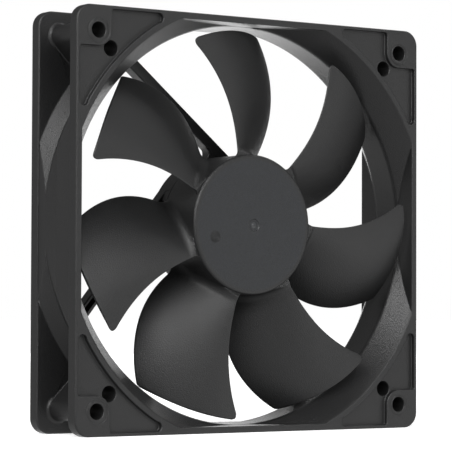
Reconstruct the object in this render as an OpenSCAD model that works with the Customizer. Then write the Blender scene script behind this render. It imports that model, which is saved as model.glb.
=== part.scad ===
// Square-framed axial case fan, standing upright with its axis along Y.
// The intake face looks towards -Y and the strut side towards +Y.
// The origin is the middle of the frame. All sizes are in millimetres.
// Every sub-part is drawn lying down, with its rear face at height 0 and the intake face
// up, and stand() turns it into place. Angles run counter-clockwise seen from the intake.

/* [Frame] */
// Width and height of the square frame
frame_w = 119; // [118.5:0.5:120]
// Depth of the frame along the fan's axis
frame_d = 25; // [25:0.5:26]
// Radius of the frame's outer corners
frame_corner_r = 4.5; // [4:0.5:5]
// Thickness of the front and rear flanges
flange_t = 4; // [3.5:0.5:4]
// Rounding of the flanges' outer edges
flange_edge_r = 0.4; // [0.3:0.1:0.5]

/* [Duct] */
// Radius of the duct at its throat
throat_r = 57.5; // [57.3:0.1:57.6]
// Radius of the duct's mouth in the front face
mouth_r = 63; // [62.5:0.5:63]
// Radius of the duct's exit in the rear face
exit_r = 62.9; // [62.4:0.5:62.9]
// Half the distance between the flats that trim the mouth and exit
mouth_flat = 57.6; // [57.6:0.1:57.8]
// Wall thickness of the duct at its throat
throat_wall = 2; // [1.8:0.1:2]

/* [Mounting] */
// Spacing of the outer mounting holes, centre to centre
hole_pitch = 105; // [105:0.1:105]
// Spacing of the inner mounting holes, centre to centre
inner_pitch = 95.5; // [95:0.5:95.5]
// Diameter of the mounting holes
hole_d = 4.4; // [4.2:0.1:4.5]
// Diameter of the hollow posts between the flanges
post_d = 6.4; // [6.2:0.1:6.8]
// Depth of the recesses in the flange corners
pocket_depth = 1; // [0.8:0.1:1.2]

/* [Struts and base] */
// Number of struts that hold the motor base
strut_count = 4; // [3:1:4]
// Width of a strut
strut_w = 3.3; // [3:0.1:3.6]
// Height of a strut along the axis
strut_h = 4.2; // [3.8:0.1:4.4]
// Direction, seen from the axis, of the first strut's outer side
strut_turn = 50.4; // [48:0.1:52]
// Radius of the motor base
base_r = 19.6; // [19.4:0.1:19.8]
// Height of the motor base's skirt
base_h = 6.8; // [6.6:0.1:7]

/* [Impeller] */
// Number of blades
blade_count = 7; // [7:1:7]
// Radius of the hub
hub_r = 20.15; // [20:0.05:20.3]
// Depth of the hub's face below the front face of the frame
hub_inset = 1; // [0.8:0.1:1.2]
// Length of the hub along the axis
hub_len = 16.2; // [16:0.1:16.2]
// Radius at the blade tips
tip_r = 56.15; // [55.5:0.05:56.3]

/* [Motor] */
// Diameter of the shaft
shaft_d = 3; // [3:0.1:3]
// Radial clearance of the shaft in its sleeve
shaft_gap = 0.03; // [0.02:0.01:0.05]
// Height of the stator's lamination stack
stack_h = 6; // [5.5:0.5:6]
// Number of stator poles
pole_count = 4; // [4:2:4]

/* [Hidden] */

round_fn = 96;

plastic_colour = [0.15, 0.15, 0.155];
hub_colour = [0.17, 0.175, 0.18];
steel_colour = [0.72, 0.73, 0.75];
bronze_colour = [0.62, 0.45, 0.27];
brass_colour = [0.8, 0.65, 0.32];
copper_colour = [0.72, 0.38, 0.2];
ferrite_colour = [0.22, 0.2, 0.19];
nylon_colour = [0.88, 0.87, 0.82];
board_colour = [0.1, 0.33, 0.17];
chip_colour = [0.07, 0.07, 0.08];
ceramic_colour = [0.75, 0.66, 0.5];
label_colour = [0.68, 0.69, 0.7];

// Frame, worked out from the driving sizes
side_recess = 0.3;
duct_fillet_r = 66;
rear_root_r = 63;
throat_rear_h = 8;
throat_front_h = 17.7;
valley_h = 7.8;
pocket_rim = 0.95;
pocket_arc_r = 64.6;
pocket_tip_x = 32.8;
pocket_corner_r = 0.8;
island_r = hole_pitch / 2 - 48.2;
web_t = 1.8;

// Motor base
base_floor_t = 1.6;
base_wall_r = base_r - 1.4;
label_recess_r = 17.4;
label_recess_h = 0.3;
tube_r = 4.3;
tube_bore_r = 3.2;
tube_top_h = 18.7;
wire_groove_w = 1.4;
wire_groove_lip = 0.9;

// Rotor
hub_top_h = frame_d - hub_inset;
hub_bottom_h = hub_top_h - hub_len;
hub_plate_t = 1.8;
hub_wall_t = 1.7;
hub_cup_r = hub_r - hub_wall_t;
hub_plate_h = hub_top_h - hub_plate_t;
yoke_t = 0.8;
yoke_r = hub_cup_r - 0.05;
yoke_bottom_h = hub_bottom_h + 0.4;
magnet_r = yoke_r - yoke_t;
magnet_bore_r = 15.4;
magnet_h = 10.6;
magnet_bottom_h = hub_bottom_h + 0.8;
boss_r = 4;
boss_h = 2.5;
shaft_r = shaft_d / 2;
shaft_top_h = hub_plate_h + 0.8;
shaft_bottom_h = 2.1;
groove_r = 1.15;
groove_h = 0.7;
groove_bottom_h = 3.3;
slinger_h = 0.5;
slinger_r = 3.4;
clip_r = 2.6;
clip_slot_w = 1;

// Bearing
running_gap = 0.1;
sleeve_bottom_h = 5.2;
sleeve_h = 12.2;
seal_bottom_h = 17.5;
seal_h = 1;
washer_bottom_h = 4.6;
washer_h = 0.5;
pad_bottom_h = 1.4;
pad_h = 0.6;
pad_r = 2.4;
cap_h = 1.7;

// Stator
stack_bottom_h = 10;
stack_top_h = stack_bottom_h + stack_h;
core_ring_r = 7.2;
pole_r = 14.9;
pole_shoe_t = 1.8;
pole_shoe_angle = 74;
tooth_w = 4.4;
bobbin_t = 0.6;
coil_in_r = 7.7;
coil_out_r = 12.3;
coil_t = 1.6;
bobbin_lip_t = 1;
bobbin_lip_h = 1.2;
bobbin_lip_side = 1.4;
pin_angles = [45, 135, 225];
pin_circle_r = 11.2;
pin_r = 0.35;
pin_tail = 0.9;
pin_socket_r = 1.1;
pin_socket_h = 2.4;
pin_socket_floor = 0.4;
board_h = 3.6;
board_t = 1;
board_r = 16.9;
board_bore_r = 5.3;
board_notch_w = 6;
board_notch_t = 1.2;

// Parts on the board: distance from the axis, direction and size
hall_place = [14.9, 315];
hall_size = [1.6, 3, 1.2];
chip_place = [11.5, 315];
chip_size = [5, 4, 1.4];
capacitor_place = [11.5, 270];
capacitor_size = [1.6, 3.2, 1.2];
diode_place = [11.5, 180];
diode_size = [2.6, 4.2, 1.3];
resistor_places = [[11.8, 20], [11.8, 105]];
resistor_size = [1.2, 2, 0.6];

// Blade shape, from root (0) to tip (1): angles in degrees, heights above the rear face
function blade_lead_angle(s) = 103.6 - 12.9 * s + 32.3 * s * s - 12 * s * s * s;
function blade_trail_angle(s) = 62.1 - 8.4 * s + 36.6 * s * s - 9.4 * s * s * s;
function blade_lead_h(s) = frame_d - (1.85 - 1.4 * s + 1.65 * s * s);
function blade_trail_h(s) = frame_d - (15.4 - 0.6 * s - 2.7 * s * s);
function blade_bow(s) = 1.35 + 1.6 * s;
function blade_thickness(s, t) = (1.8 - 0.5 * s) * (0.35 + 2.6 * t * (1 - t));

blade_root_r = hub_r - 0.7;
blade_rows = 9;
blade_columns = 8;

// Points on an arc about c, from angle a0 to a1 in n steps
function arc(c, r, a0, a1, n) =
    [for (i = [0:n]) c + r * [cos(a0 + (a1 - a0) * i / n), sin(a0 + (a1 - a0) * i / n)]];

// Half-thickness profile of a plate with rounded edges, from radius 0 to r
function plate_profile(r, t, e) = concat(
    [[0, 0]],
    arc([r - e, e], e, -90, 0, 3),
    arc([r - e, t - e], e, 0, 90, 3),
    [[0, t]]
);

// Cross-section of the same plate, from side to side
function slab_profile(w, t, e) = concat(
    arc([w / 2 - e, e], e, -90, 0, 3),
    arc([w / 2 - e, t - e], e, 0, 90, 3),
    arc([e - w / 2, t - e], e, 90, 180, 3),
    arc([e - w / 2, e], e, 180, 270, 3)
);

// Outline of one corner recess, in the corner where both coordinates are positive
function pocket_outline() =
    let (
        rim = frame_w / 2 - pocket_rim,
        island = hole_pitch / 2 - island_r,
        tip_y = sqrt(pocket_arc_r * pocket_arc_r - pocket_tip_x * pocket_tip_x),
        tip_r = (rim - tip_y) / 2,
        a0 = atan2(tip_y, pocket_tip_x),
        c = pocket_corner_r
    )
    concat(
        arc([pocket_tip_x, rim - tip_r], tip_r, 270, 90, 8),
        arc([island - c, rim - c], c, 90, 0, 3),
        arc([hole_pitch / 2, hole_pitch / 2], island_r, 180, 270, 8),
        arc([rim - c, island - c], c, 90, 0, 3),
        arc([rim - tip_r, pocket_tip_x], tip_r, 0, -180, 8),
        arc([0, 0], pocket_arc_r, 91.5 - a0, a0 - 1.5, 12)
    );

// Turns a sub-part from its lying position into the standing fan
module stand() {
    translate([0, frame_d / 2, 0])
        rotate([90, 0, 0])
            children();
}

module at_corners(pitch) {
    for (sx = [-1, 1])
        for (sy = [-1, 1])
            translate([sx * pitch / 2, sy * pitch / 2, 0])
                children();
}

module ring(outer_r, inner_r, h) {
    difference() {
        cylinder(h = h, r = outer_r, $fn = round_fn);
        translate([0, 0, -1])
            cylinder(h = h + 2, r = inner_r, $fn = round_fn);
    }
}

module square_flange() {
    span = frame_w - 2 * frame_corner_r;
    translate([-span / 2, 0, 0])
        rotate([90, 0, 90])
            linear_extrude(height = span)
                polygon(slab_profile(frame_w, flange_t, flange_edge_r));
    translate([0, span / 2, 0])
        rotate([90, 0, 0])
            linear_extrude(height = span)
                polygon(slab_profile(frame_w, flange_t, flange_edge_r));
    at_corners(span)
        rotate_extrude($fn = round_fn)
            polygon(plate_profile(frame_corner_r, flange_t, flange_edge_r));
}

module duct_wall() {
    side = frame_w - 2 * side_recess;
    intersection() {
        rotate_extrude($fn = round_fn)
            polygon([
                [50, flange_t - 0.5],
                [rear_root_r + 0.46, flange_t - 0.5],
                [throat_r + throat_wall, valley_h],
                [duct_fillet_r + 0.25, frame_d - flange_t + 0.5],
                [50, frame_d - flange_t + 0.5]
            ]);
        translate([-side / 2, -side / 2, 0])
            cube([side, side, frame_d]);
    }
}

// Hollow post round each outer hole, with a diagonal web to the duct and a tube round the inner hole
module corner_posts() {
    clear_h = frame_d - 2 * flange_t + 1;
    for (a = [45, 135, 225, 315])
        rotate([0, 0, a])
            translate([0, 0, flange_t - 0.5]) {
                translate([hole_pitch / sqrt(2), 0, 0])
                    cylinder(h = clear_h, d = post_d, $fn = round_fn);
                translate([inner_pitch / sqrt(2), 0, 0])
                    cylinder(h = clear_h, d = post_d, $fn = round_fn);
                translate([throat_r + throat_wall / 2, -web_t / 2, 0])
                    cube([hole_pitch / sqrt(2) - throat_r - throat_wall / 2, web_t, clear_h]);
            }
}

// Air passage through the frame, with its flared ends trimmed by four flats
module duct_cavity() {
    exit_slope = (exit_r - throat_r) / throat_rear_h;
    mouth_slope = (mouth_r - throat_r) / (frame_d - throat_front_h);
    intersection() {
        rotate_extrude($fn = round_fn)
            polygon([
                [0, -1],
                [exit_r + exit_slope, -1],
                [throat_r, throat_rear_h],
                [throat_r, throat_front_h],
                [mouth_r + mouth_slope, frame_d + 1],
                [0, frame_d + 1]
            ]);
        translate([-mouth_flat, -mouth_flat, -2])
            cube([2 * mouth_flat, 2 * mouth_flat, frame_d + 4]);
    }
}

module corner_pocket() {
    linear_extrude(height = pocket_depth + 1)
        polygon(pocket_outline());
}

module corner_pockets() {
    for (a = [0, 90, 180, 270])
        rotate([0, 0, a]) {
            translate([0, 0, frame_d - pocket_depth])
                corner_pocket();
            translate([0, 0, -1])
                corner_pocket();
        }
}

module mounting_holes() {
    at_corners(hole_pitch)
        translate([0, 0, -1])
            cylinder(h = frame_d + 2, d = hole_d, $fn = round_fn);
    at_corners(inner_pitch)
        translate([0, 0, -1])
            cylinder(h = frame_d + 2, d = hole_d, $fn = round_fn);
}

module strut() {
    reach = sqrt(pow(exit_r + 0.6, 2) - pow(base_r - strut_w / 2, 2));
    profile = concat(
        [[base_r - 0.2 - strut_w, 0], [base_r - 0.2, 0]],
        arc([base_r - 0.7, strut_h - 0.5], 0.5, 0, 90, 3),
        arc([base_r + 0.3 - strut_w, strut_h - 0.5], 0.5, 90, 180, 3)
    );
    translate([0, reach, 0])
        rotate([90, 0, 0])
            linear_extrude(height = reach)
                polygon(profile);
}

// Groove for the supply wires along the front of the second strut, and their way through the skirt
module wire_groove() {
    rotate([0, 0, strut_turn + 90])
        translate([base_r - 0.2 - wire_groove_lip - wire_groove_w, 4, base_floor_t])
            cube([wire_groove_w, 51, strut_h]);
}

module motor_base() {
    difference() {
        union() {
            cylinder(h = base_h, r = base_r, $fn = round_fn);
            for (k = [0:strut_count - 1])
                rotate([0, 0, strut_turn + 90 * k])
                    strut();
        }
        translate([0, 0, base_floor_t])
            cylinder(h = base_h, r = base_wall_r, $fn = round_fn);
        translate([0, 0, -1])
            cylinder(h = 1 + label_recess_h, r = label_recess_r, $fn = round_fn);
        translate([0, 0, -1])
            cylinder(h = 4, r = tube_bore_r, $fn = round_fn);
        wire_groove();
    }
    translate([0, 0, base_floor_t])
        ring(tube_r, tube_bore_r, tube_top_h - base_floor_t);
}

module frame() {
    color(plastic_colour)
        stand() {
            difference() {
                union() {
                    square_flange();
                    translate([0, 0, frame_d - flange_t])
                        square_flange();
                    duct_wall();
                    corner_posts();
                }
                duct_cavity();
                corner_pockets();
                mounting_holes();
            }
            motor_base();
        }
}

module bearing_sleeve() {
    color(bronze_colour)
        stand()
            translate([0, 0, sleeve_bottom_h])
                ring(tube_bore_r, shaft_r + shaft_gap, sleeve_h);
}

module oil_seal_ring() {
    color(nylon_colour)
        stand()
            translate([0, 0, seal_bottom_h])
                ring(tube_bore_r, shaft_r + running_gap, seal_h);
}

module sleeve_washer() {
    color(nylon_colour)
        stand()
            translate([0, 0, washer_bottom_h])
                ring(tube_bore_r, shaft_r + running_gap, washer_h);
}

module thrust_pad() {
    color(nylon_colour)
        stand()
            translate([0, 0, pad_bottom_h])
                cylinder(h = pad_h, r = pad_r, $fn = round_fn);
}

module bearing_cap() {
    color(plastic_colour)
        stand()
            difference() {
                translate([0, 0, label_recess_h])
                    cylinder(h = cap_h, r = tube_bore_r, $fn = round_fn);
                translate([0, 0, pad_bottom_h])
                    cylinder(h = cap_h, r = pad_r, $fn = round_fn);
            }
}

module pole_outline() {
    shoe_in_r = pole_r - pole_shoe_t;
    translate([core_ring_r - 0.6, -tooth_w / 2, 0])
        cube([shoe_in_r + 0.4 - core_ring_r + 0.6, tooth_w, stack_h]);
    rotate([0, 0, -pole_shoe_angle / 2])
        rotate_extrude(angle = pole_shoe_angle, $fn = round_fn)
            translate([shoe_in_r, 0])
                square([pole_shoe_t, stack_h]);
}

module stator_core() {
    color(steel_colour)
        stand()
            translate([0, 0, stack_bottom_h]) {
                ring(core_ring_r, tube_r, stack_h);
                for (k = [0:pole_count - 1])
                    rotate([0, 0, k * 360 / pole_count])
                        pole_outline();
            }
}

// End cap of the bobbin: a collar round the tube and one arm along each pole
module insulator_half() {
    ring(core_ring_r, tube_r, bobbin_t);
    for (k = [0:pole_count - 1])
        rotate([0, 0, k * 360 / pole_count]) {
            translate([core_ring_r - 0.6, -tooth_w / 2, 0])
                cube([coil_out_r + bobbin_lip_t - core_ring_r, tooth_w, bobbin_t]);
            translate([coil_out_r, -tooth_w / 2 - bobbin_lip_side, 0])
                cube([bobbin_lip_t, tooth_w + 2 * bobbin_lip_side, bobbin_t + bobbin_lip_h]);
        }
}

module insulator_front() {
    color(nylon_colour)
        stand()
            translate([0, 0, stack_top_h])
                insulator_half();
}

// The rear half also carries three sockets for the terminal pins
module insulator_rear() {
    color(nylon_colour)
        stand()
            difference() {
                union() {
                    translate([0, 0, stack_bottom_h])
                        mirror([0, 0, 1])
                            insulator_half();
                    for (a = pin_angles)
                        rotate([0, 0, a]) {
                            translate([core_ring_r - 0.5, -0.9, stack_bottom_h - bobbin_t])
                                cube([pin_circle_r - core_ring_r + 0.5, 1.8, bobbin_t]);
                            translate([pin_circle_r, 0, stack_bottom_h - pin_socket_h])
                                cylinder(h = pin_socket_h, r = pin_socket_r, $fn = round_fn);
                        }
                }
                for (a = pin_angles)
                    rotate([0, 0, a])
                        translate([pin_circle_r, 0, stack_bottom_h - pin_socket_h - 1])
                            cylinder(h = pin_socket_h + 1 - pin_socket_floor, r = pin_r, $fn = round_fn);
            }
}

module winding(k) {
    out_w = tooth_w + 2 * coil_t;
    out_h = stack_h + 2 * bobbin_t + 2 * coil_t;
    in_h = stack_h + 2 * bobbin_t;
    color(copper_colour)
        stand()
            rotate([0, 0, k * 360 / pole_count])
                translate([coil_in_r, 0, stack_bottom_h - bobbin_t])
                    difference() {
                        translate([0, -out_w / 2, -coil_t])
                            cube([coil_out_r - coil_in_r, out_w, out_h]);
                        translate([-1, -tooth_w / 2, 0])
                            cube([coil_out_r, tooth_w, in_h]);
                    }
}

module winding_1() {
    winding(0);
}

module winding_2() {
    winding(1);
}

module winding_3() {
    winding(2);
}

module winding_4() {
    winding(3);
}

module terminal_pins() {
    bottom = board_h - pin_tail;
    top = stack_bottom_h - pin_socket_floor;
    color(brass_colour)
        stand()
            for (a = pin_angles)
                rotate([0, 0, a])
                    translate([pin_circle_r, 0, bottom])
                        cylinder(h = top - bottom, r = pin_r, $fn = round_fn);
}

module circuit_board() {
    color(board_colour)
        stand()
            translate([0, 0, board_h])
                difference() {
                    ring(board_r, board_bore_r, board_t);
                    for (a = pin_angles)
                        rotate([0, 0, a])
                            translate([pin_circle_r, 0, -1])
                                cylinder(h = board_t + 2, r = pin_r + running_gap, $fn = round_fn);
                    // Notch where the supply wires reach the board
                    rotate([0, 0, strut_turn + 90])
                        translate([board_r - board_notch_t, -board_notch_w / 3, -1])
                            cube([2 * board_notch_t, board_notch_w, board_t + 2]);
                }
}

// A surface-mounted body on the front of the board
module on_board(place, size) {
    rotate([0, 0, place[1]])
        translate([place[0] - size[0] / 2, -size[1] / 2, board_h + board_t])
            cube(size);
}

// The same on the rear of the board
module under_board(place, size) {
    rotate([0, 0, place[1]])
        translate([place[0] - size[0] / 2, -size[1] / 2, board_h - size[2]])
            cube(size);
}

module hall_sensor() {
    color(chip_colour)
        stand()
            on_board(hall_place, hall_size);
}

module driver_chip() {
    color(chip_colour)
        stand()
            under_board(chip_place, chip_size);
}

module capacitor() {
    color(ceramic_colour)
        stand()
            under_board(capacitor_place, capacitor_size);
}

module polarity_diode() {
    color(chip_colour)
        stand()
            under_board(diode_place, diode_size);
}

module resistors() {
    color(chip_colour)
        stand()
            for (place = resistor_places)
                under_board(place, resistor_size);
}

module rear_label() {
    color(label_colour)
        stand()
            cylinder(h = label_recess_h, r = label_recess_r - 0.4, $fn = round_fn);
}

// Point on a blade: s from root to tip, t from leading to trailing edge, side -1 rear or 1 front
function blade_point(s, t, side) =
    let (
        r = blade_root_r + (tip_r - blade_root_r) * s,
        a = blade_lead_angle(s) + (blade_trail_angle(s) - blade_lead_angle(s)) * t,
        mid = blade_lead_h(s) + (blade_trail_h(s) - blade_lead_h(s)) * t + blade_bow(s) * 4 * t * (1 - t),
        h = mid + side * blade_thickness(s, t) / 2
    )
    [r * cos(a), r * sin(a), h];

// One loop round the blade's section: along the front side and back along the rear side
function blade_loop(s) = concat(
    [for (j = [0:blade_columns]) blade_point(s, j / blade_columns, 1)],
    [for (j = [blade_columns:-1:0]) blade_point(s, j / blade_columns, -1)]
);

module blade() {
    loop_n = 2 * (blade_columns + 1);
    points = [for (i = [0:blade_rows]) each blade_loop(i / blade_rows)];
    last = blade_rows * loop_n;
    sides = [
        for (i = [0:blade_rows - 1])
            for (j = [0:loop_n - 1])
                let (
                    a = i * loop_n + j,
                    b = i * loop_n + (j + 1) % loop_n
                )
                each [[a, b + loop_n, b], [a, a + loop_n, b + loop_n]]
    ];
    root_cap = [
        for (j = [0:blade_columns - 1])
            each [
                [j, loop_n - 2 - j, loop_n - 1 - j],
                [j, j + 1, loop_n - 2 - j]
            ]
    ];
    tip_cap = [for (f = root_cap) [f[0] + last, f[2] + last, f[1] + last]];
    polyhedron(points = points, faces = concat(sides, root_cap, tip_cap), convexity = 4);
}

module impeller() {
    color(hub_colour)
        stand()
            union() {
                difference() {
                    translate([0, 0, hub_bottom_h])
                        rotate_extrude($fn = round_fn)
                            polygon(concat(
                                [[0, 0], [hub_r, 0]],
                                arc([hub_r - 0.5, hub_len - 0.5], 0.5, 0, 90, 3),
                                [[0, hub_len]]
                            ));
                    translate([0, 0, hub_bottom_h - 1])
                        cylinder(h = hub_plate_h - hub_bottom_h + 1, r = hub_cup_r, $fn = round_fn);
                    translate([0, 0, hub_plate_h - 1])
                        cylinder(h = 1 + shaft_top_h - hub_plate_h, r = shaft_r, $fn = round_fn);
                }
                for (k = [0:blade_count - 1])
                    rotate([0, 0, k * 360 / blade_count])
                        blade();
            }
}

module rotor_yoke() {
    color(steel_colour)
        stand() {
            translate([0, 0, yoke_bottom_h])
                ring(yoke_r, yoke_r - yoke_t, hub_plate_h - yoke_bottom_h);
            translate([0, 0, hub_plate_h - yoke_t])
                ring(yoke_r, boss_r, yoke_t);
        }
}

module ring_magnet() {
    color(ferrite_colour)
        stand()
            translate([0, 0, magnet_bottom_h])
                ring(magnet_r, magnet_bore_r, magnet_h);
}

module shaft_boss() {
    color(brass_colour)
        stand()
            translate([0, 0, hub_plate_h - boss_h])
                ring(boss_r, shaft_r, boss_h);
}

module shaft() {
    color(steel_colour)
        stand()
            rotate_extrude($fn = round_fn)
                polygon(concat(
                    [[0, shaft_bottom_h], [shaft_r - 0.4, shaft_bottom_h], [shaft_r, shaft_bottom_h + 0.4]],
                    [[shaft_r, groove_bottom_h], [groove_r, groove_bottom_h]],
                    [[groove_r, groove_bottom_h + groove_h], [shaft_r, groove_bottom_h + groove_h]],
                    [[shaft_r, shaft_top_h], [0, shaft_top_h]]
                ));
}

module oil_slinger() {
    color(nylon_colour)
        stand()
            translate([0, 0, hub_plate_h - boss_h - slinger_h])
                ring(slinger_r, shaft_r, slinger_h);
}

// Split washer that keeps the shaft in its sleeve
module shaft_clip() {
    color(nylon_colour)
        stand()
            translate([0, 0, groove_bottom_h + running_gap / 2])
                difference() {
                    ring(clip_r, groove_r, groove_h - running_gap);
                    translate([0, -clip_slot_w / 2, -1])
                        cube([clip_r + 1, clip_slot_w, 3]);
                }
}

frame();
bearing_sleeve();
oil_seal_ring();
sleeve_washer();
thrust_pad();
bearing_cap();
stator_core();
insulator_front();
insulator_rear();
winding_1();
winding_2();
winding_3();
winding_4();
terminal_pins();
circuit_board();
hall_sensor();
driver_chip();
capacitor();
polarity_diode();
resistors();
rear_label();
impeller();
rotor_yoke();
ring_magnet();
shaft_boss();
shaft();
oil_slinger();
shaft_clip();
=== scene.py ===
"""Looks of the case fan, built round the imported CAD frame.

The fan stands on a pale floor with its axis along Y and its intake towards -Y.
Shapes are drawn lying down in millimetres, rear face at height 0 and intake face up, as in part.scad, and
stand() turns them into the row frame, in metres. Angles run counter-clockwise seen from the intake.
"""

import math

import bmesh
import bpy
import numpy as np
from mathutils import Matrix, Vector


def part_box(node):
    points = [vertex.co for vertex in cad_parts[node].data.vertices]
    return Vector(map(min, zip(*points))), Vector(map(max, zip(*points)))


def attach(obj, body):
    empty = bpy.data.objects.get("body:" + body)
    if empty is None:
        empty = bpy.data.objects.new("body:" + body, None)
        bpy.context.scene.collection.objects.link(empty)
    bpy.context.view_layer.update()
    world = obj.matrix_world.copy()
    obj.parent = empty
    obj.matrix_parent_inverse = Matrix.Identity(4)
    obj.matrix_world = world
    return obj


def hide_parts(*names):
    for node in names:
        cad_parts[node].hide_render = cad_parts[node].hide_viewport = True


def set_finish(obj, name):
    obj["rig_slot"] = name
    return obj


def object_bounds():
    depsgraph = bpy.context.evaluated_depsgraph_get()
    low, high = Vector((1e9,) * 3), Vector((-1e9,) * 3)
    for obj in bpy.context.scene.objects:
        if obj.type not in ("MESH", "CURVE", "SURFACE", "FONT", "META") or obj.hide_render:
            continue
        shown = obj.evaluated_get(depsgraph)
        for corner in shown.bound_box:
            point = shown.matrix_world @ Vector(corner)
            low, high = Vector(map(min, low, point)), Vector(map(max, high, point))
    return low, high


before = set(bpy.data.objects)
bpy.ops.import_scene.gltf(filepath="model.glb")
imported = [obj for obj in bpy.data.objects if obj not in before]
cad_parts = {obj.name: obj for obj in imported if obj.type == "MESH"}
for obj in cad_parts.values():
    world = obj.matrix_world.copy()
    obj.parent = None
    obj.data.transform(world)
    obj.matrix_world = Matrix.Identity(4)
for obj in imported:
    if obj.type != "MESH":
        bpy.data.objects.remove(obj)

cad_low, cad_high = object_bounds()

# ---------------------------------------------------------------- sizes, taken from the frame

MM = 1000.0
frame_low, frame_high = (Vector(c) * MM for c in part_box("frame"))
rotor_high = Vector(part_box("impeller")[1]) * MM
sleeve_high = Vector(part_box("bearing_sleeve")[1]) * MM

FRAME_W = frame_high.x - frame_low.x
FRAME_D = frame_high.y - frame_low.y
CORNER_R = 4.5  # of the flanges' corners
FLANGE_T = 4.0
THROAT_R = 57.5
MOUTH_R = 63.0  # of the front flare, where it meets the intake face
EXIT_R = 62.9  # of the rear flare
MOUTH_FLAT = 57.6  # from the axis to each of the flats that trim the flares
DUCT_SIDE = FRAME_W / 2 - 0.3
OUTER_HOLE = 105.0 / 2
INNER_HOLE = 95.5 / 2
HOLE_R = 2.2
RING_R_LEFT, RING_R_RIGHT = 3.4, 2.9  # of the fine groove round each outer hole
RING_HALF_WIDTH, RING_DEPTH = 0.45, 0.22
POST_R = 3.2
POCKET_DEPTH = 1.4  # of the recess in each corner of both faces
FLANGE_EDGE_R = 0.5
EDGE_R = 0.2  # of every other sharp edge of the frame
JOIN = 0.5  # how far one solid reaches into the next, so that they unite
PAST = 1.0  # how far a cutter reaches past what it cuts

HUB_R = 20.15
HUB_TOP = FRAME_D - 1.0
HUB_BOTTOM = HUB_TOP - 16.2
HUB_CUP_R = HUB_R - 1.7
HUB_PLATE = HUB_TOP - 1.8
TIP_R = rotor_high.x
BLADES = 7
DIMPLE_PLACE = (-12.9, -3.7)
GATE_PLACE = (0.5, -0.2)
DIMPLE_R = 1.75
GATE_STUB_R = 0.85
BORE_POLISH = 62.5  # the duct's inside is smoother within this radius
HUB_SHEEN = 18.8  # the hub's face is a little bluer and smoother within this radius

BASE_R = 19.6
BASE_H = 6.8
BASE_WALL = 1.4
BASE_FLOOR = 1.6
TUBE_BORE_R = sleeve_high.x
TUBE_R = 4.3
TUBE_TOP = 18.7
LABEL_R = 17.4
LABEL_RECESS = 0.3
STRUT_W = 3.3
STRUT_H = 4.2
STRUT_TURN = 50.4
STRUT_OUT = BASE_R - 0.2  # from the axis to a strut's outer side


def stand(points):
    """Points drawn lying down in millimetres, turned into the row frame in metres."""
    p = np.asarray(points, float)
    return np.stack([p[:, 0], FRAME_D / 2 - p[:, 2], p[:, 1]], axis=1) / MM


# ---------------------------------------------------------------- solids drawn lying down


def make_object(name, points, faces):
    mesh = bpy.data.meshes.new(name)
    mesh.from_pydata([tuple(p) for p in points], [], faces)
    mesh.validate()
    obj = bpy.data.objects.new(name, mesh)
    bpy.context.scene.collection.objects.link(obj)
    return obj


def lathe(profile, segments=192):
    """Points and faces of a closed (radius, height) outline, counter-clockwise, turned about the axis."""
    points, rings = [], []
    for r, h in profile:
        if r < 1e-6:
            rings.append([len(points)])
            points.append((0.0, 0.0, h))
            continue
        ring = []
        for j in range(segments):
            a = 2 * math.pi * j / segments
            ring.append(len(points))
            points.append((r * math.cos(a), r * math.sin(a), h))
        rings.append(ring)
    faces = []
    for low, high in zip(rings, rings[1:] + rings[:1]):
        for j in range(segments):
            k = (j + 1) % segments
            if len(low) > 1 and len(high) > 1:
                faces.append((low[j], low[k], high[k], high[j]))
            elif len(low) > 1:
                faces.append((low[j], low[k], high[0]))
            elif len(high) > 1:
                faces.append((low[0], high[k], high[j]))
    return points, faces


def prism(outline, low, high):
    """Points and faces of an outline, given counter-clockwise, drawn up from one height to another."""
    n = len(outline)
    points = [(x, y, low) for x, y in outline] + [(x, y, high) for x, y in outline]
    faces = [tuple(reversed(range(n))), tuple(range(n, 2 * n))]
    faces += [(i, (i + 1) % n, (i + 1) % n + n, i + n) for i in range(n)]
    return points, faces


def arc(cx, cy, r, a0, a1, n):
    steps = [math.radians(a0 + (a1 - a0) * i / n) for i in range(n + 1)]
    return [(cx + r * math.cos(a), cy + r * math.sin(a)) for a in steps]


def circle(cx, cy, r, n=64):
    return arc(cx, cy, r, 0, 360, n)[:-1]


def rounded_square(side, r, n=16):
    c = side / 2 - r
    corners = ((c, c, 0), (-c, c, 90), (-c, -c, 180), (c, -c, 270))
    return [p for x, y, a in corners for p in arc(x, y, r, a, a + 90, n)]


def slab(side, corner, low, high, edge, n=4):
    """A rounded square plate whose outer edges are rounded too."""
    levels = [(edge * (1 - math.sin(a)), low + edge * (1 - math.cos(a)))
              for a in (math.pi / 2 * i / n for i in range(n + 1))]
    levels += [(inset, low + high - h) for inset, h in reversed(levels)]
    points, faces, count = [], [], 0
    for inset, h in levels:
        outline = rounded_square(side - 2 * inset, corner - inset)
        count = len(outline)
        points += [(x, y, h) for x, y in outline]
    for i in range(len(levels) - 1):
        for j in range(count):
            k = (j + 1) % count
            faces.append((i * count + j, i * count + k, (i + 1) * count + k, (i + 1) * count + j))
    last = (len(levels) - 1) * count
    faces += [tuple(reversed(range(count))), tuple(range(last, last + count))]
    return points, faces


def box(x0, x1, y0, y1, low, high):
    return prism([(x0, y0), (x1, y0), (x1, y1), (x0, y1)], low, high)


def turned(part, degrees):
    points, faces = part
    a = math.radians(degrees)
    c, s = math.cos(a), math.sin(a)
    return [(c * x - s * y, s * x + c * y, h) for x, y, h in points], faces


def moved(part, x, y):
    points, faces = part
    return [(px + x, py + y, h) for px, py, h in points], faces


def joined(parts):
    """Several parts that don't touch each other, as one."""
    points, faces = [], []
    for p, f in parts:
        faces += [tuple(i + len(points) for i in face) for face in f]
        points += p
    return points, faces


def four(part):
    return joined([turned(part, 90 * k) for k in range(4)])


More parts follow.
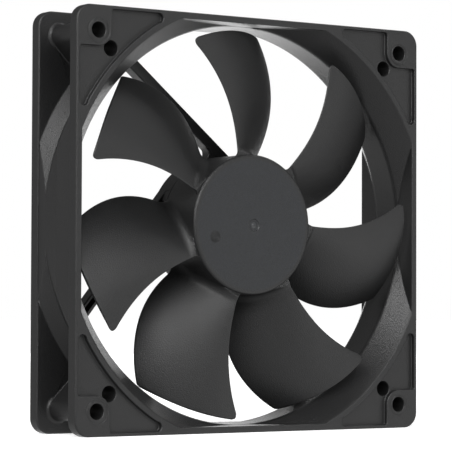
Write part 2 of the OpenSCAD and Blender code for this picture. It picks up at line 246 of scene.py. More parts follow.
def boolean_mesh(name, first, steps):
    """Adds, cuts or intersects each part in turn. The steps are (operation, part)."""
    obj = make_object(name, *first)
    tools = []
    for operation, part in steps:
        tool = make_object("tool", *part)
        tools.append(tool)
        modifier = obj.modifiers.new(operation, "BOOLEAN")
        modifier.operation = operation
        modifier.solver = "MANIFOLD"
        modifier.object = tool
    depsgraph = bpy.context.evaluated_depsgraph_get()
    done = bpy.data.meshes.new_from_object(obj.evaluated_get(depsgraph))
    obj.modifiers.clear()
    obj.data = done
    for tool in tools:
        bpy.data.objects.remove(tool)
    return obj


def mesh_part(obj):
    """Points and faces of an object drawn by boolean_mesh, which is then removed."""
    points = [tuple(v.co) for v in obj.data.vertices]
    faces = [tuple(p.vertices) for p in obj.data.polygons]
    bpy.data.objects.remove(obj)
    return points, faces


# ---------------------------------------------------------------- frame


def smooth_run(points, n=10):
    """Rounds each inner corner of a (radius, height) run: points are (r, h, how far the rounding reaches)."""
    run = [points[0][:2]]
    for (r0, h0, _), (r1, h1, reach), (r2, h2, _) in zip(points, points[1:], points[2:]):
        if reach <= 0:
            run.append((r1, h1))
            continue
        before, corner, after = Vector((r0, h0)), Vector((r1, h1)), Vector((r2, h2))
        start = corner + (before - corner).normalized() * reach
        end = corner + (after - corner).normalized() * reach
        for i in range(n + 1):
            t = i / n
            p = start * (1 - t) ** 2 + corner * 2 * t * (1 - t) + end * t * t
            run.append((p.x, p.y))
    run.append(points[-1][:2])
    return run


def duct_cavity():
    """Air passage: rear flare, throat and front flare, trimmed by the four flats."""
    rear_h, front_h = 8.0, 17.7
    rear_round, front_round = 0.8, 0.9
    slope_rear = (EXIT_R - THROAT_R) / rear_h
    slope_front = (MOUTH_R - THROAT_R) / (FRAME_D - front_h)
    wall = smooth_run([
        (EXIT_R + slope_rear * PAST, -PAST, 0),
        (THROAT_R, rear_h, rear_round),
        (THROAT_R, front_h, front_round),
        (MOUTH_R + slope_front * PAST, FRAME_D + PAST, 0),
    ])
    passage = lathe([(0, -PAST)] + wall + [(0, FRAME_D + PAST)])
    trim = box(-MOUTH_FLAT, MOUTH_FLAT, -MOUTH_FLAT, MOUTH_FLAT, -2 * PAST, FRAME_D + 2 * PAST)
    return mesh_part(boolean_mesh("cavity", passage, [("INTERSECT", trim)]))


def duct_wall():
    """Outside of the duct between the flanges, a double cone, trimmed by the frame's sides."""
    inner, rear_r, front_r = 50, 63.46, 66.25
    thick, waist_h, waist_round = 2, 7.8, 0.4
    rear_h, front_h = FLANGE_T - JOIN, FRAME_D - FLANGE_T + JOIN
    wall = smooth_run([
        (inner, rear_h, 0),
        (rear_r, rear_h, 0),
        (THROAT_R + thick, waist_h, waist_round),
        (front_r, front_h, 0),
        (inner, front_h, 0),
    ])
    trim = box(-DUCT_SIDE, DUCT_SIDE, -DUCT_SIDE, DUCT_SIDE, 0, FRAME_D)
    return mesh_part(boolean_mesh("wall", lathe(wall), [("INTERSECT", trim)]))


def pocket_outline():
    """Outline of the recess in the corner where both coordinates are positive.

    It runs between the frame's rim and an arc about the axis, round the raised island of the outer hole.
    """
    rim = FRAME_W / 2 - 0.95
    arc_r, tip_x, corner = 64.6, 32.8, 0.8
    tip_y = math.sqrt(arc_r ** 2 - tip_x ** 2)
    tip_r = (rim - tip_y) / 2
    a0 = math.degrees(math.atan2(tip_y, tip_x))
    hole, island = OUTER_HOLE, 48.2
    island_r = hole - island
    end_gap = 1.5
    return (
        arc(tip_x, rim - tip_r, tip_r, 270, 90, 12)
        + arc(island - corner, rim - corner, corner, 90, 0, 6)
        + arc(hole, hole, island_r, 180, 270, 12)
        + arc(rim - corner, island - corner, corner, 90, 0, 6)
        + arc(rim - tip_r, tip_x, tip_r, 0, -180, 12)
        + arc(0, 0, arc_r, 90 - a0 + end_gap, a0 - end_gap, 24)
    )[::-1]


def at_corners(part_at, reach):
    return joined([part_at(sx * reach, sy * reach) for sx in (-1, 1) for sy in (-1, 1)])


def strut():
    """One strut, tangent to the base, from beside the axis out past the start of the duct's wall."""
    reach = math.sqrt((EXIT_R + 0.6) ** 2 - (BASE_R - STRUT_W / 2) ** 2)
    edge = 0.5
    profile = (
        [(STRUT_OUT - STRUT_W, 0), (STRUT_OUT, 0)]
        + arc(STRUT_OUT - edge, STRUT_H - edge, edge, 0, 90, 5)
        + arc(STRUT_OUT - STRUT_W + edge, STRUT_H - edge, edge, 90, 180, 5)
    )
    n = len(profile)
    points = [(x, reach, h) for x, h in profile] + [(x, 0, h) for x, h in profile]
    faces = [tuple(reversed(range(n))), tuple(range(n, 2 * n))]
    faces += [(i, (i + 1) % n, (i + 1) % n + n, i + n) for i in range(n)]
    return points, faces


def base_plate():
    """The motor base: a cup with the label's recess at the rear and the bearing's tube in the middle."""
    cup = BASE_R - BASE_WALL
    return lathe([
        (TUBE_BORE_R, LABEL_RECESS), (LABEL_R, LABEL_RECESS), (LABEL_R, 0), (BASE_R, 0),
        (BASE_R, BASE_H), (cup, BASE_H), (cup, BASE_FLOOR), (TUBE_R, BASE_FLOOR),
        (TUBE_R, TUBE_TOP), (TUBE_BORE_R, TUBE_TOP),
    ])


def groove_ring(r):
    """A V-shaped groove in the front face."""
    top = FRAME_D + 0.02
    return lathe([(r - RING_HALF_WIDTH, top), (r, FRAME_D - RING_DEPTH), (r + RING_HALF_WIDTH, top)], 64)


def post_profile():
    """Outline of a corner post, which flares where it meets the two flanges."""
    flare, low, high = 1.0, FLANGE_T, FRAME_D - FLANGE_T
    rise = arc(POST_R + flare, low + flare, flare, 270, 180, 6)
    return (
        [(0, low - JOIN), (POST_R + flare, low - JOIN)] + rise
        + [(r, low + high - h) for r, h in reversed(rise)]
        + [(POST_R + flare, high + JOIN), (0, high + JOIN)]
    )


def strut_root():
    """Fills the sharp corner between a strut's inner side and the base with a fillet."""
    side = STRUT_OUT - STRUT_W
    fillet, overlap, length, inward = 2.2, 1, 6, 0.8
    a = math.asin((side - fillet) / (BASE_R + fillet))
    cx, cy = side - fillet, (BASE_R + fillet) * math.cos(a)
    touch = math.degrees(math.atan2(-cy, -cx)) % 360
    curve = arc(cx, cy, fillet, 360, touch, 10)
    end_x, end_y = curve[-1]
    outline = [(side + overlap, cy - length), (side + overlap, cy)] + curve
    outline.append((inward * end_x, inward * end_y))
    return prism(outline, LABEL_RECESS, STRUT_H - 0.4)


def build_frame():
    post = lathe(post_profile(), 64)
    posts = at_corners(lambda x, y: moved(post, x, y), OUTER_HOLE)
    web_in, web_out = THROAT_R + 1, OUTER_HOLE * math.sqrt(2)
    web = box(web_in, web_out, -POST_R, POST_R, FLANGE_T - JOIN, FRAME_D - FLANGE_T + JOIN)
    pocket = pocket_outline()
    holes = joined([
        at_corners(lambda x, y: prism(circle(x, y, HOLE_R), -PAST, FRAME_D + PAST), reach)
        for reach in (OUTER_HOLE, INNER_HOLE)
    ])
    rings = at_corners(
        lambda x, y: moved(groove_ring(RING_R_LEFT if x < 0 else RING_R_RIGHT), x, y), OUTER_HOLE)
    cup = prism(circle(0, 0, BASE_R - BASE_WALL, 192), BASE_FLOOR, STRUT_H + PAST)
    label_seat = prism(circle(0, 0, LABEL_R, 192), -PAST, LABEL_RECESS)
    # The struts end inside the rear flange and the duct's wall.
    end_r, end_h, slope_r, slope_h = EXIT_R + 0.4, FLANGE_T - 0.8, EXIT_R - 0.6, STRUT_H + 0.5
    inside_wall = lathe([(0, -PAST), (end_r, -PAST), (end_r, end_h), (slope_r, slope_h), (0, slope_h)])
    # The second strut has a groove in its front for the supply wires.
    lip, groove, groove_start, groove_end = 0.9, 1.4, 4, 55
    groove_out = STRUT_OUT - lip
    groove_cut = turned(
        box(groove_out - groove, groove_out, groove_start, groove_end, BASE_FLOOR, STRUT_H + PAST),
        STRUT_TURN + 90)
    struts = mesh_part(boolean_mesh("struts", turned(four(strut()), STRUT_TURN), [
        ("UNION", turned(four(strut_root()), STRUT_TURN)),
        ("INTERSECT", inside_wall),
        ("DIFFERENCE", cup),
        ("DIFFERENCE", label_seat),
    ]))
    return boolean_mesh("frame_moulding", slab(FRAME_W, CORNER_R, 0, FLANGE_T, FLANGE_EDGE_R), [
        ("UNION", slab(FRAME_W, CORNER_R, FRAME_D - FLANGE_T, FRAME_D, FLANGE_EDGE_R)),
        ("UNION", duct_wall()),
        ("UNION", posts),
        ("UNION", four(turned(web, 45))),
        ("DIFFERENCE", duct_cavity()),
        ("DIFFERENCE", four(prism(pocket, FRAME_D - POCKET_DEPTH, FRAME_D + PAST))),
        ("DIFFERENCE", four(prism(pocket, -PAST, POCKET_DEPTH))),
        ("DIFFERENCE", rings),
        ("DIFFERENCE", holes),
        ("UNION", struts),
        ("UNION", base_plate()),
        ("DIFFERENCE", groove_cut),
    ])


# ---------------------------------------------------------------- impeller


def blade_lead_angle(s):
    """Where the leading edge is, in degrees, from the root (s = 0) to the tip (s = 1)."""
    return 103.6 - 12.9 * s + 32.3 * s ** 2 - 12 * s ** 3 + 0.6 * s ** 8


def blade_trail_angle(s):
    return 62.1 - 8.4 * s + 36.6 * s ** 2 - 9.4 * s ** 3


def blade_lead_h(s):
    return FRAME_D - (1.85 - 1.4 * s + 1.65 * s ** 2)


def blade_trail_h(s):
    return FRAME_D - (15.4 - 0.6 * s - 2.7 * s ** 2)


def fillet_reach(r, radius):
    """How far a root fillet of a radius stands out from the blade, at a distance from the axis."""
    u = min(max(r - HUB_R, 0.0), radius)
    return radius - math.sqrt(radius ** 2 - (radius - u) ** 2)


def blade_part(rows=56, columns=48):
    """One blade: a closed loop round its section at each radius.

    Along a loop, t runs from the leading edge (0) to the trailing edge (1) on the front face, and back on the
    rear face. The edges and the corners at the tip are round, and the root has a fillet, larger in front.
    """
    root_r = HUB_R - 0.7
    fillet, face_fillet = 1.7, 2.8
    edge_r, tip_round = 0.35, 0.4
    lead_corner, trail_corner = 2.5, 0.6
    root_spread, spread_reach = 2.1, 4.5
    spread = np.linspace(0, 1, rows)
    radii = root_r + (TIP_R - root_r) * (0.5 - 0.5 * np.cos(math.pi * spread)) * 0.6
    radii += (TIP_R - root_r) * spread * 0.4
    side = 0.5 - 0.5 * np.cos(math.pi * np.linspace(0, 1, columns))
    t = np.concatenate([side, side[::-1][1:-1]])
    sign = np.concatenate([np.ones(columns), -np.ones(columns - 2)])
    points = []
    for r in radii:
        s = (r - root_r) / (TIP_R - root_r)
        lead_a, trail_a = blade_lead_angle(s), blade_trail_angle(s)
        lead_h, trail_h = blade_lead_h(s), blade_trail_h(s)
        chord = math.hypot(math.radians(lead_a - trail_a) * r, lead_h - trail_h)
        slope = chord / (math.radians(lead_a - trail_a) * r)
        near_tip = TIP_R - r

        def cut(corner):
            if near_tip >= corner:
                return 0.0
            return (corner - math.sqrt(max(0.0, corner ** 2 - (corner - near_tip) ** 2))) / chord

        flare = fillet_reach(r, fillet)
        face_flare = np.where(sign > 0, fillet_reach(r, face_fillet), 0.8 * flare)
        t0 = cut(lead_corner) - flare * 0.7 / chord
        spread_out = root_spread * max(0.0, 1 - (r - HUB_R) / spread_reach) ** 2
        t1 = 1 - cut(trail_corner) + flare / chord + spread_out / chord
        u = t0 + (t1 - t0) * t
        edge = (edge_r + 0.7 * flare) / chord
        from_edge = np.minimum(t, 1 - t) * (t1 - t0)
        roundness = np.sqrt(np.clip(1 - np.clip(1 - from_edge / edge, 0, 1) ** 2, 0, 1))
        if near_tip < tip_round:
            roundness = roundness * math.sqrt(max(0.0, 1 - (1 - near_tip / tip_round) ** 2))
        inside = np.clip(u, 0, 1)
        thickness, camber = 1.5 - 0.4 * s, 1.35 + 1.6 * s
        half = thickness * (0.35 + 2.6 * inside * (1 - inside)) / 2
        half = (half + face_flare * slope) * roundness
        bow = camber * (1 - np.abs(2 * u - 1) ** 2.4)
        h = lead_h + (trail_h - lead_h) * u + bow + sign * half
        angle = np.radians(lead_a + (trail_a - lead_a) * u)
        h = np.minimum(h, HUB_TOP - 0.75 + np.clip((r - HUB_R) / 2, 0, 4))
        h = np.maximum(h, HUB_BOTTOM + 0.3 - np.clip(r - HUB_R - fillet, 0, 4))
        points += list(zip(r * np.cos(angle), r * np.sin(angle), h))
    n = len(t)
    faces = []
    for i in range(rows - 1):
        for j in range(n):
            k = (j + 1) % n
            faces.append((i * n + j, i * n + k, (i + 1) * n + k, (i + 1) * n + j))
    last = (rows - 1) * n
    for j in range(columns - 1):
        back, back_next = (n - j) % n, n - j - 1
        quad = [j, j + 1, back_next, back]
        quad = [q for i, q in enumerate(quad) if q not in quad[:i]]
        faces.append(tuple(quad[::-1]))
        faces.append(tuple(last + q for q in quad))
    return points, faces


def hub_part():
    """The hub's cup, open at the rear, with a round rim."""
    rim, chamfer = 0.8, 0.2
    profile = (
        [(0, HUB_PLATE), (HUB_CUP_R, HUB_PLATE), (HUB_CUP_R, HUB_BOTTOM)]
        + [(HUB_R - chamfer, HUB_BOTTOM), (HUB_R, HUB_BOTTOM + chamfer)]
        + arc(HUB_R - rim, HUB_TOP - rim, rim, 0, 90, 8)
        + [(HUB_R - rim - 0.1, HUB_TOP), (0, HUB_TOP)]
    )
    return lathe(profile, 224)


def hub_gate():
    """The round sink where the plastic was injected, with the torn stub of the gate left standing in it."""
    well, depth, stub = 1.9, 0.3, GATE_STUB_R
    floor, above = HUB_TOP - depth, HUB_TOP + 0.05
    cut = lathe([
        (stub, floor), (well - 0.3, floor), (well, HUB_TOP), (well, above), (0, above),
        (0, floor + 0.2), (0.12, floor + 0.28), (0.3, floor + 0.22), (stub - 0.15, floor + 0.06),
    ], 48)
    return moved(cut, *GATE_PLACE)


def hub_dimple():
    """The shallow round mark that the ejector pin leaves beside the gate."""
    r, depth = DIMPLE_R, 0.3
    dish = [(r * i / 8, HUB_TOP - depth * (1 - (i / 8) ** 2)) for i in range(9)]
    cut = lathe(dish + [(r, HUB_TOP + 0.05), (0, HUB_TOP + 0.05)], 48)
    return moved(cut, *DIMPLE_PLACE)


def build_impeller():
    blades = [("UNION", turned(blade_part(), 360 * k / BLADES)) for k in range(BLADES)]
    marks = joined([hub_gate(), hub_dimple()])
    return boolean_mesh("impeller_moulding", hub_part(), blades + [("DIFFERENCE", marks)])


# ---------------------------------------------------------------- windings


def coil_part(k):
    """One stator coil: a section with one ridge for each turn of wire, swept round its tooth."""
    low, high = (Vector(c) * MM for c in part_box("winding_1"))
    tooth_half, turn, thick, corner = 2.2, 0.32, 1.6, 0.35
    middle_h = FRAME_D / 2 - (low.y + high.y) / 2
    half_h = (high.y - low.y) / 2 - thick
    turns = int((high.x - low.x) / turn)
    pitch = (high.x - low.x) / turns
    section = [(low.x, 0.02), (high.x, 0.02)]
    for i in reversed(range(turns)):
        x = low.x + (i + 0.5) * pitch
        section += arc(x, thick - pitch / 2, pitch / 2, 20, 160, 5)
    c_y, c_h = tooth_half - corner, half_h - corner
    path = [
        (y + corner * math.cos(a), h + corner * math.sin(a), math.cos(a), math.sin(a))
        for y, h, a0 in ((c_y, c_h, 0), (-c_y, c_h, 90), (-c_y, -c_h, 180), (c_y, -c_h, 270))
        for a in (math.radians(a0 + 15 * i) for i in range(7))
    ]
    n, m = len(section), len(path)
    points = [(x, y + ny * t, middle_h + h + nh * t) for y, h, ny, nh in path for x, t in section]
    faces = []
    for i in range(m):
        for j in range(n):
            a, b = i * n, (i + 1) % m * n
            faces.append((a + j, b + j, b + (j + 1) % n, a + (j + 1) % n))
    return turned((points, faces), 90 * k)


# ---------------------------------------------------------------- finishing a mesh


def points_of(mesh):
    points = np.empty(len(mesh.vertices) * 3)
    mesh.vertices.foreach_get("co", points)
    return points.reshape(-1, 3)


def move_points(mesh, points):
    mesh.vertices.foreach_set("co", points.ravel())
    mesh.update()


def finish_mesh(obj, sharp_angle=32.0, bevel=0.0):
    """Cleans a mesh, rounds its sharp edges, and turns it into the row frame."""
    mesh = obj.data
    edit = bmesh.new()
    edit.from_mesh(mesh)
    bmesh.ops.remove_doubles(edit, verts=edit.verts, dist=1e-4)
    bmesh.ops.dissolve_degenerate(edit, edges=edit.edges, dist=1e-4)
    bmesh.ops.triangulate(edit, faces=[f for f in edit.faces if len(f.verts) > 4])
    bmesh.ops.recalc_face_normals(edit, faces=edit.faces)
    edit.to_mesh(mesh)
    edit.free()
    move_points(mesh, stand(points_of(mesh)))
    mesh.polygons.foreach_set("use_smooth", [True] * len(mesh.polygons))
    mesh.set_sharp_from_angle(angle=math.radians(sharp_angle))
    if bevel:
        low, high = points_of(mesh).min(axis=0), points_of(mesh).max(axis=0)
        modifier = obj.modifiers.new("edges", "BEVEL")
        modifier.width = bevel / MM
        modifier.segments = 2
        modifier.limit_method = "ANGLE"
        modifier.angle_limit = math.radians(sharp_angle)
        modifier.use_clamp_overlap = False
        modifier.loop_slide = False
        modifier.miter_outer = "MITER_SHARP"
        modifier.harden_normals = False
        depsgraph = bpy.context.evaluated_depsgraph_get()
        mesh = bpy.data.meshes.new_from_object(obj.evaluated_get(depsgraph))
        obj.modifiers.clear()
        obj.data = mesh
        # A sharp mitre can run a little past the flat faces it sits on.
        move_points(mesh, np.clip(points_of(mesh), low, high))
    weighted = obj.modifiers.new("normals", "WEIGHTED_NORMAL")
    weighted.keep_sharp = True
    weighted.weight = 60


frame_obj = build_frame()
finish_mesh(frame_obj, bevel=EDGE_R)
impeller_obj = build_impeller()
finish_mesh(impeller_obj)

coils = [make_object(f"coil_{k + 1}", *coil_part(k)) for k in range(4)]
for coil in coils:
    finish_mesh(coil, sharp_angle=60)

for piece, body, node, slot in [
    (frame_obj, "housing", "frame", "frame_plastic"),
    (impeller_obj, "rotor", "impeller", "impeller_plastic"),
] + [(coil, "housing", f"winding_{k + 1}", "copper_enamel") for k, coil in enumerate(coils)]:
    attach(piece, body)
    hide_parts(node)
    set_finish(piece, slot)

# ---------------------------------------------------------------- materials


def new_material(name):
    material = bpy.data.materials.new(name)
    material.use_nodes = True
    nodes = material.node_tree.nodes
    return material, nodes, material.node_tree.links, nodes["Principled BSDF"]


def noise(nodes, links, coordinates, scale, detail=2.0):
    node = nodes.new("ShaderNodeTexNoise")
    node.inputs["Scale"].default_value = scale
    node.inputs["Detail"].default_value = detail
    links.new(coordinates, node.inputs["Vector"])
    return node


def remap(nodes, links, value, low, high, to_low, to_high):
    node = nodes.new("ShaderNodeMapRange")
    node.inputs["From Min"].default_value = low
    node.inputs["From Max"].default_value = high
    node.inputs["To Min"].default_value = to_low
    node.inputs["To Max"].default_value = to_high
    links.new(value, node.inputs["Value"])
    return node.outputs["Result"]


def mix_colours(nodes, links, factor, first, second):
    """Blends two colours, each a tuple or a socket."""
    node = nodes.new("ShaderNodeMix")
    node.data_type = "RGBA"
    links.new(factor, node.inputs[0])
    for socket, colour in ((node.inputs[6], first), (node.inputs[7], second)):
        if isinstance(colour, tuple):
            socket.default_value = (*colour, 1)
        else:
            links.new(colour, socket)
    return node.outputs[2]


def calculate(nodes, links, operation, first, second):
    """A Math node on two sockets or numbers."""
    node = nodes.new("ShaderNodeMath")
    node.operation = operation
    for socket, value in zip(node.inputs, (first, second)):
        if isinstance(value, (int, float)):
            socket.default_value = value
        else:
            links.new(value, socket)
    return node.outputs[0]


def past_radius(nodes, links, place, radius, soft=0.0003, centre=(0, 0)):
    """0 within the radius of a line along the fan's axis, 1 outside it. The centre is in millimetres."""
    shifted = nodes.new("ShaderNodeVectorMath")
    shifted.operation = "SUBTRACT"
    shifted.inputs[1].default_value = (centre[0] / MM, 0, centre[1] / MM)
    links.new(place, shifted.inputs[0])
    flat = nodes.new("ShaderNodeVectorMath")
    flat.operation = "MULTIPLY"
    flat.inputs[1].default_value = (1, 0, 1)
    links.new(shifted.outputs["Vector"], flat.inputs[0])
    reach = nodes.new("ShaderNodeVectorMath")
    reach.operation = "LENGTH"
    links.new(flat.outputs["Vector"], reach.inputs[0])
    return remap(nodes, links, reach.outputs["Value"], radius - soft, radius + soft, 0, 1)


def faces_out(nodes, links, coordinates):
    """1 on surfaces that face away from the fan's axis, 0 on those that face it."""
    match = nodes.new("ShaderNodeVectorMath")
    match.operation = "DOT_PRODUCT"
    links.new(coordinates.outputs["Object"], match.inputs[0])
    links.new(coordinates.outputs["Normal"], match.inputs[1])
    return remap(nodes, links, match.outputs["Value"], -0.002, 0.002, 0, 1)


def edge_mask(nodes, links, radius=0.00035):
    """Close to 1 on outer and inner edges, 0 on flat or gently curved surfaces."""
    rounded = nodes.new("ShaderNodeBevel")
    rounded.samples = 4
    rounded.inputs["Radius"].default_value = radius
    match = nodes.new("ShaderNodeVectorMath")
    match.operation = "DOT_PRODUCT"
    links.new(rounded.outputs["Normal"], match.inputs[0])
    links.new(nodes.new("ShaderNodeNewGeometry").outputs["Normal"], match.inputs[1])
    return remap(nodes, links, match.outputs["Value"], 0.995, 0.9, 0, 1)


def plastic(name, colour, roughness, grain_scale=3700.0, grain_height=0.00008, speckle=0.05,
            inner=None, bore=False, wear_and_highlight=None, painted_spots=()):
    """Moulded plastic: spark-eroded grain, faint clouds, lightened edges, and roughness that changes a
    little.

    inner is (radius, colour, roughness) for what lies nearer the axis than that radius, or only for what
    faces the axis there if bore is set. Each spot is a disc of painted shade or a painted highlight, given as
    (centre, radius, colour). Edges are lightened towards a paler given colour, partly as rubbed wear and
    partly as a painted highlight.
    """
    material, nodes, links, shader = new_material(name)
    coordinates = nodes.new("ShaderNodeTexCoord")
    place = coordinates.outputs["Object"]
    cloud = noise(nodes, links, place, 45.0, 3.0).outputs["Fac"]
    grain = noise(nodes, links, place, grain_scale, 1.0).outputs["Fac"]
    dark, light = (tuple(c * share for c in colour) for share in (0.88, 1.14))
    look = mix_colours(nodes, links, cloud, dark, light)
    mixed = calculate(nodes, links, "MULTIPLY", cloud, grain)
    rough = remap(nodes, links, mixed, 0.1, 0.4, roughness - 0.06, roughness + 0.08)
    if inner:
        radius, inner_colour, inner_roughness = inner
        outside = past_radius(nodes, links, place, radius)
        if bore:
            outside = calculate(nodes, links, "MAXIMUM", outside, faces_out(nodes, links, coordinates))
        look = mix_colours(nodes, links, outside, inner_colour, look)
        change = calculate(nodes, links, "SUBTRACT", rough, inner_roughness)
        change = calculate(nodes, links, "MULTIPLY", change, outside)
        rough = calculate(nodes, links, "ADD", change, inner_roughness)
    # Each spot is a disc of its own colour: painted shade where darker, a painted highlight where lighter.
    for centre, radius, painted_spot_colour in painted_spots:
        outside = past_radius(nodes, links, place, radius / MM, 0.0001, centre)
        look = mix_colours(nodes, links, outside, painted_spot_colour, look)
    speck = remap(nodes, links, grain, 0.3, 0.7, 1 - speckle, 1 + speckle)
    tinted = nodes.new("ShaderNodeVectorMath")
    tinted.operation = "SCALE"
    links.new(look, tinted.inputs[0])
    links.new(speck, tinted.inputs["Scale"])
    look = tinted.outputs["Vector"]
    # Edges are lightened: partly rubbed wear, partly a painted highlight along each edge.
    if wear_and_highlight:
        rubbed_and_highlit = noise(nodes, links, place, 900.0, 2.0).outputs["Fac"]
        rubbed_and_highlit = remap(nodes, links, rubbed_and_highlit, 0.35, 0.6, 0.2, 1)
        rubbed_and_highlit = calculate(nodes, links, "MULTIPLY", edge_mask(nodes, links), rubbed_and_highlit)
        look = mix_colours(nodes, links, rubbed_and_highlit, look, wear_and_highlight)
    links.new(look, shader.inputs["Base Color"])
    links.new(rough, shader.inputs["Roughness"])
    bump = nodes.new("ShaderNodeBump")
    bump.inputs["Distance"].default_value = grain_height
    bump.inputs["Strength"].default_value = 1.0
    links.new(grain, bump.inputs["Height"])
    links.new(bump.outputs["Normal"], shader.inputs["Normal"])
    return material


def metal(name, colour, roughness):
    """Metal whose tint and roughness cloud a little."""
    material, nodes, links, shader = new_material(name)
    shader.inputs["Metallic"].default_value = 1.0
    place = nodes.new("ShaderNodeTexCoord").outputs["Object"]
    cloud = noise(nodes, links, place, 600.0, 3.0).outputs["Fac"]
    look = mix_colours(nodes, links, cloud, tuple(c * 0.82 for c in colour), colour)
    links.new(look, shader.inputs["Base Color"])
    rough = remap(nodes, links, cloud, 0.3, 0.7, roughness - 0.08, roughness + 0.1)
    links.new(rough, shader.inputs["Roughness"])
    return material


BLACK = (0.012, 0.012, 0.0122)
materials = {
    # The paler edge colours are partly rubbed wear and partly painted edge highlights.
    "frame_plastic": plastic(
        "frame_plastic", BLACK, 0.43, speckle=0.3,
        inner=(BORE_POLISH / MM, BLACK, 0.33), bore=True, wear_and_highlight=(0.035, 0.035, 0.036)),
    "impeller_plastic": plastic(
        "impeller_plastic", (0.012, 0.0121, 0.0123), 0.43, speckle=0.3,
        inner=(HUB_SHEEN / MM, (0.0118, 0.0132, 0.0155), 0.41), wear_and_highlight=(0.05, 0.05, 0.051),
        # Painted shade darkens the ejector pin's dimple, and a painted highlight lightens the gate's stub.
        painted_spots=(
            (DIMPLE_PLACE, DIMPLE_R, (0.003, 0.0034, 0.004)),
            (GATE_PLACE, GATE_STUB_R, (0.045, 0.047, 0.05)),
        )),
    "nylon": plastic("nylon", (0.62, 0.6, 0.52), 0.45),
    "chip_resin": plastic("chip_resin", (0.012, 0.012, 0.013), 0.5),
    "capacitor_ceramic": plastic("capacitor_ceramic", (0.42, 0.3, 0.16), 0.35),
    "ferrite": plastic("ferrite", (0.03, 0.027, 0.025), 0.6),
    "board_laminate": plastic("board_laminate", (0.02, 0.12, 0.045), 0.35),
    "label_film": plastic("label_film", (0.45, 0.46, 0.47), 0.3, 1500.0, 0.00001, speckle=0.02),
    "sintered_bronze": metal("sintered_bronze", (0.5, 0.3, 0.14), 0.45),
    "lamination_steel": metal("lamination_steel", (0.5, 0.5, 0.51), 0.4),
    "yoke_steel": metal("yoke_steel", (0.55, 0.55, 0.56), 0.35),
    "shaft_steel": metal("shaft_steel", (0.6, 0.6, 0.62), 0.18),
    "brass": metal("brass", (0.75, 0.55, 0.22), 0.3),
    "copper_enamel": metal("copper_enamel", (0.65, 0.25, 0.1), 0.25),
}

for piece in (frame_obj, impeller_obj, *coils):
    piece.data.materials.clear()
    piece.data.materials.append(materials[piece["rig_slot"]])
SLOTS = {
    "bearing_sleeve": "sintered_bronze", "oil_seal_ring": "nylon", "sleeve_washer": "nylon",
    "thrust_pad": "nylon", "bearing_cap": "frame_plastic", "stator_core": "lamination_steel",
    "insulator_front": "nylon", "insulator_rear": "nylon",
    "terminal_pins": "brass", "circuit_board": "board_laminate", "hall_sensor": "chip_resin",
    "driver_chip": "chip_resin", "capacitor": "capacitor_ceramic", "polarity_diode": "chip_resin",
    "resistors": "chip_resin", "rear_label": "label_film", "rotor_yoke": "yoke_steel",
    "ring_magnet": "ferrite", "shaft_boss": "brass", "shaft": "shaft_steel",
    "oil_slinger": "nylon", "shaft_clip": "nylon",
}
for node, slot in SLOTS.items():
    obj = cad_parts[node]
    if not obj.material_slots:
        obj.data.materials.append(None)
    for material_slot in obj.material_slots:
        material_slot.link = "OBJECT"
        material_slot.material = materials[slot]

# ---------------------------------------------------------------- floor, light and camera

FLOOR_HALF = 6  # half the floor's side, in metres
floor = make_object(
    "floor",
    [(x * FLOOR_HALF, y * FLOOR_HALF, cad_low.z) for x, y in ((-1, -1), (1, -1), (1, 1), (-1, 1))],
    [(0, 1, 2, 3)])
floor_material, floor_nodes, floor_links, floor_shader = new_material("floor")
floor_shader.inputs["Base Color"].default_value = (0.9, 0.9, 0.9, 1)
floor_shader.inputs["Roughness"].default_value = 0.9
floor_shader.inputs["Specular IOR Level"].default_value = 0.1
floor_shader.inputs["Emission Color"].default_value = (1, 1, 1, 1)
# The floor's glow is painted light: weaker near the fan, where the lamps' shadows show on it, and stronger
# further out.
floor_place = floor_nodes.new("ShaderNodeTexCoord").outputs["Object"]
from_middle = floor_nodes.new("ShaderNodeVectorMath")
from_middle.operation = "LENGTH"
floor_links.new(floor_place, from_middle.inputs[0])
floor_links.new(
    remap(floor_nodes, floor_links, from_middle.outputs["Value"], 0.15, 1.2, 0.55, 1.0),
    floor_shader.inputs["Emission Strength"])
floor.data.materials.append(floor_material)
# The floor is whiter in the photo than what it throws back at the fan, so its bounce comes from the world.
floor.visible_diffuse = False
floor.visible_glossy = False
floor.visible_shadow = False

# The camera sees a white world, and the fan is lit by one that is brighter below than above.
world = bpy.data.worlds.new("studio")
bpy.context.scene.world = world
world.use_nodes = True
world_nodes, world_links = world.node_tree.nodes, world.node_tree.links
dim = world_nodes["Background"]
dim.inputs["Color"].default_value = (1, 1, 1, 1)
seen = world_nodes.new("ShaderNodeBackground")
seen.inputs["Color"].default_value = (1, 1, 1, 1)
seen.inputs["Strength"].default_value = 1.0
which = world_nodes.new("ShaderNodeMixShader")
direction = world_nodes.new("ShaderNodeSeparateXYZ")
world_links.new(world_nodes.new("ShaderNodeTexCoord").outputs["Generated"], direction.inputs[0])
world_links.new(
    remap(world_nodes, world_links, direction.outputs["Z"], -0.3, 0.1, 0.62, 0.17), dim.inputs["Strength"])
world_links.new(world_nodes.new("ShaderNodeLightPath").outputs["Is Camera Ray"], which.inputs[0])
world_links.new(dim.outputs[0], which.inputs[1])
world_links.new(seen.outputs[0], which.inputs[2])
world_links.new(which.outputs[0], world_nodes["World Output"].inputs["Surface"])


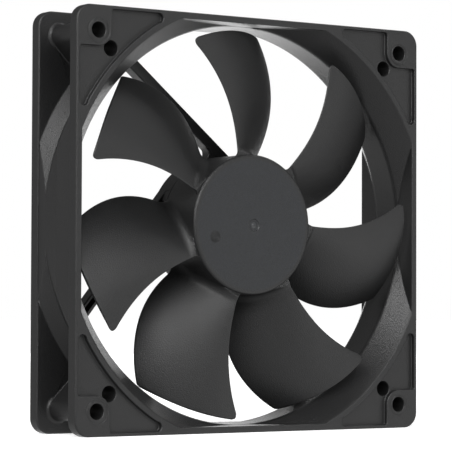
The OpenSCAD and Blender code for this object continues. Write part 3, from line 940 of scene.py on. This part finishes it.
def softbox(name, azimuth, elevation, distance, size, radiance):
    """A soft area light that faces the fan. Azimuth runs from straight before the intake towards +X."""
    a, e = math.radians(azimuth), math.radians(elevation)
    light = bpy.data.lights.new(name, "AREA")
    light.shape = "RECTANGLE"
    light.size, light.size_y = size
    light.energy = radiance * math.pi * size[0] * size[1]
    obj = bpy.data.objects.new(name, light)
    bpy.context.scene.collection.objects.link(obj)
    obj.location = Vector((math.sin(a) * math.cos(e), -math.cos(a) * math.cos(e), math.sin(e))) * distance
    obj.rotation_mode = "QUATERNION"
    obj.rotation_quaternion = (-obj.location).to_track_quat("-Z", "Y")
    obj.visible_camera = False
    return obj


softbox("key", -30, 30, 1.0, (1.35, 0.42), 4.9)
softbox("side", -76, 32, 1.0, (0.42, 0.45), 7.2)
softbox("rear_left", -115, 15, 1.0, (0.42, 0.42), 1.2)
softbox("fill", 38, 6, 1.0, (0.85, 0.5), 1.05)
softbox("low", 40, -28, 1.0, (0.8, 0.4), 1.1)
softbox("rim", 85, 50, 1.0, (0.45, 0.45), 3.5)
softbox("backdrop", 147, -8, 1.2, (0.85, 1.1), 1.7)

CAMERA_PLACE = (-0.39258, -0.57516, -0.02451)
YAW, PITCH, ROLL = math.radians(34.2146), math.radians(2.007), math.radians(0.205)
camera = bpy.data.cameras.new("camera")
camera.sensor_width = 36.0
camera.lens = 190.62
camera.clip_start, camera.clip_end = 0.05, 30.0
camera_obj = bpy.data.objects.new("camera", camera)
bpy.context.scene.collection.objects.link(camera_obj)
ahead = Vector((math.sin(YAW) * math.cos(PITCH), math.cos(YAW) * math.cos(PITCH), math.sin(PITCH)))
level = Vector((math.cos(YAW), -math.sin(YAW), 0))
above = level.cross(ahead)
right = level * math.cos(ROLL) + above * math.sin(ROLL)
up = -level * math.sin(ROLL) + above * math.cos(ROLL)
camera_obj.matrix_world = Matrix.Translation(CAMERA_PLACE) @ Matrix((
    (right.x, up.x, -ahead.x), (right.y, up.y, -ahead.y), (right.z, up.z, -ahead.z))).to_4x4()
bpy.context.scene.camera = camera_obj
bpy.context.scene.view_settings.view_transform = "Standard"
